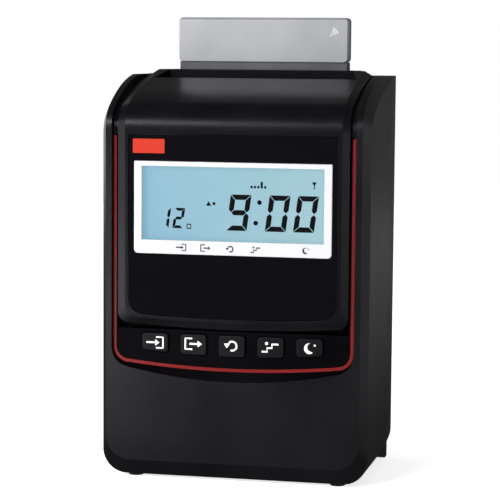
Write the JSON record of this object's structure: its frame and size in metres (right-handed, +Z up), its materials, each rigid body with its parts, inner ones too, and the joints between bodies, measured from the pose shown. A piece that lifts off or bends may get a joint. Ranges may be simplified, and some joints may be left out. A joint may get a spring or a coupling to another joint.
{
  "type": "punch time clock",
  "caption": "Upright desk time recorder: card slot in the top, tilting front cover with display, push buttons in a red-lined channel, time receiver on top.",
  "frame": {"origin": "on the desk, under the middle of the case", "axes": "+X to the right seen from the front, +Y to the back, +Z up"},
  "size_m": [0.166, 0.116, 0.2844],
  "materials": {
    "case_black": "satin",
    "cover_black": "satin",
    "channel_black": "satin",
    "panel_gloss": "gloss",
    "frame_white": "gloss",
    "window_clear": "gloss",
    "badge_red": "gloss",
    "line_red": "gloss",
    "button_grey": "satin",
    "lcd_blue": "gloss",
    "backlight_blue": "gloss",
    "magnet_grey": "satin",
    "steel_pin": "polished",
    "steel_plate": "satin",
    "screw_zinc": "satin",
    "bush_brass": "satin",
    "board_green": "satin",
    "inner_grey": "satin",
    "guide_steel": "satin",
    "funnel_black": "satin",
    "head_metal": "satin",
    "motor_steel": "satin",
    "pulley_white": "satin",
    "belt_rubber": "matte",
    "roller_rubber": "matte",
    "ribbon_ink": "matte",
    "battery_wrap": "gloss",
    "core_iron": "satin",
    "inlet_black": "satin",
    "receiver_silver": "satin",
    "receiver_grey": "satin",
    "ferrite_dark": "satin",
    "foot_rubber": "matte"
  },
  "bodies": {
    "chassis": {"case_shell": "case_black", "rear_cover": "case_black", "top_panel": "cover_black", "channel_bezel": "channel_black", "red_line": "line_red", "key_board": "board_green", "display_carrier": "inner_grey", "lcd_panel": "lcd_blue", "backlight": "backlight_blue", "slot_funnel": "funnel_black", "card_guide_front": "guide_steel", "card_guide_rear": "guide_steel", "platen": "roller_rubber", "card_sensor": "inner_grey", "side_plate_left": "steel_plate", "side_plate_right": "steel_plate", "base_plate": "steel_plate", "rear_cover_screws": "screw_zinc", "base_screws": "screw_zinc", "guide_rods": "steel_pin", "mechanism_deck": "steel_plate", "carriage_motor": "motor_steel", "carriage_belt": "belt_rubber", "ribbon_cassette": "inner_grey", "ribbon": "ribbon_ink", "shaft_bushes": "bush_brass", "feed_motor": "motor_steel", "main_board": "board_green", "clock_battery": "battery_wrap", "transformer": "core_iron", "power_inlet": "inlet_black", "receiver_front": "receiver_silver", "receiver_back": "receiver_grey", "receiver_neck": "receiver_grey", "rod_antenna": "ferrite_dark", "receiver_board": "board_green", "feet": "foot_rubber"},
    "front_cover": {"cover_shell": "cover_black", "display_panel": "panel_gloss", "display_frame": "frame_white", "display_window": "window_clear", "badge_plate": "badge_red", "hinge_pins": "steel_pin", "cover_magnets": "magnet_grey"},
    "button_1_body": {"button_1": "button_grey"},
    "button_2_body": {"button_2": "button_grey"},
    "button_3_body": {"button_3": "button_grey"},
    "button_4_body": {"button_4": "button_grey"},
    "button_5_body": {"button_5": "button_grey"},
    "carriage": {"print_carriage": "inner_grey", "print_head": "head_metal"},
    "drive_pulley_body": {"drive_pulley": "pulley_white"},
    "idler_pulley_body": {"idler_pulley": "pulley_white"},
    "ribbon_knob_body": {"ribbon_knob": "pulley_white"},
    "feed": {"feed_shaft": "steel_pin", "feed_rollers": "roller_rubber", "feed_gear": "pulley_white"},
    "pinion": {"motor_pinion": "pulley_white"},
    "pinch": {"pinch_shaft": "steel_pin", "pinch_rollers": "roller_rubber"}
  },
  "joints": [
    {"name": "cover_hinge", "type": "hinge", "parent": "chassis", "child": "front_cover", "pos_m": [0, -0.0535, 0.0995], "axis": [1, 0, 0], "range_deg": [0, 80]},
    {"name": "button_1_press", "type": "slide", "parent": "chassis", "child": "button_1_body", "axis": [0, 1, 0], "range_m": [0, 0.0012], "stiffness_N_per_m": 300, "springref_m": -0.001},
    {"name": "button_2_press", "type": "slide", "parent": "chassis", "child": "button_2_body", "axis": [0, 1, 0], "range_m": [0, 0.0012], "stiffness_N_per_m": 300, "springref_m": -0.001},
    {"name": "button_3_press", "type": "slide", "parent": "chassis", "child": "button_3_body", "axis": [0, 1, 0], "range_m": [0, 0.0012], "stiffness_N_per_m": 300, "springref_m": -0.001},
    {"name": "button_4_press", "type": "slide", "parent": "chassis", "child": "button_4_body", "axis": [0, 1, 0], "range_m": [0, 0.0012], "stiffness_N_per_m": 300, "springref_m": -0.001},
    {"name": "button_5_press", "type": "slide", "parent": "chassis", "child": "button_5_body", "axis": [0, 1, 0], "range_m": [0, 0.0012], "stiffness_N_per_m": 300, "springref_m": -0.001},
    {"name": "carriage_slide", "type": "slide", "parent": "chassis", "child": "carriage", "axis": [1, 0, 0], "range_m": [-0.022, 0.022]},
    {"name": "drive_pulley_spin", "type": "hinge", "parent": "chassis", "child": "drive_pulley_body", "pos_m": [-0.048, -0.034, 0.2], "axis": [0, 0, 1], "range_deg": [-218, 218]},
    {"name": "idler_pulley_spin", "type": "hinge", "parent": "chassis", "child": "idler_pulley_body", "pos_m": [0.048, -0.034, 0.2], "axis": [0, 0, 1], "range_deg": [-218, 218]},
    {"name": "ribbon_knob_turn", "type": "hinge", "parent": "chassis", "child": "ribbon_knob_body", "pos_m": [0.038, -0.037, 0.222], "axis": [0, 0, 1], "continuous": true},
    {"name": "feed_spin", "type": "hinge", "parent": "chassis", "child": "feed", "pos_m": [0, 0.0232, 0.18], "axis": [1, 0, 0], "continuous": true},
    {"name": "pinion_spin", "type": "hinge", "parent": "chassis", "child": "pinion", "pos_m": [0, 0.0232, 0.1576], "axis": [1, 0, 0], "continuous": true},
    {"name": "pinch_spin", "type": "hinge", "parent": "chassis", "child": "pinch", "pos_m": [0, 0.0088, 0.18], "axis": [1, 0, 0], "continuous": true}
  ],
  "couplings": [
    {"joint": "drive_pulley_spin", "follows": "carriage_slide", "rad_per_m": -172.41},
    {"joint": "idler_pulley_spin", "follows": "carriage_slide", "rad_per_m": -172.41},
    {"joint": "pinion_spin", "follows": "feed_spin", "ratio": -2.5},
    {"joint": "pinch_spin", "follows": "feed_spin", "ratio": -1.3333}
  ]
}
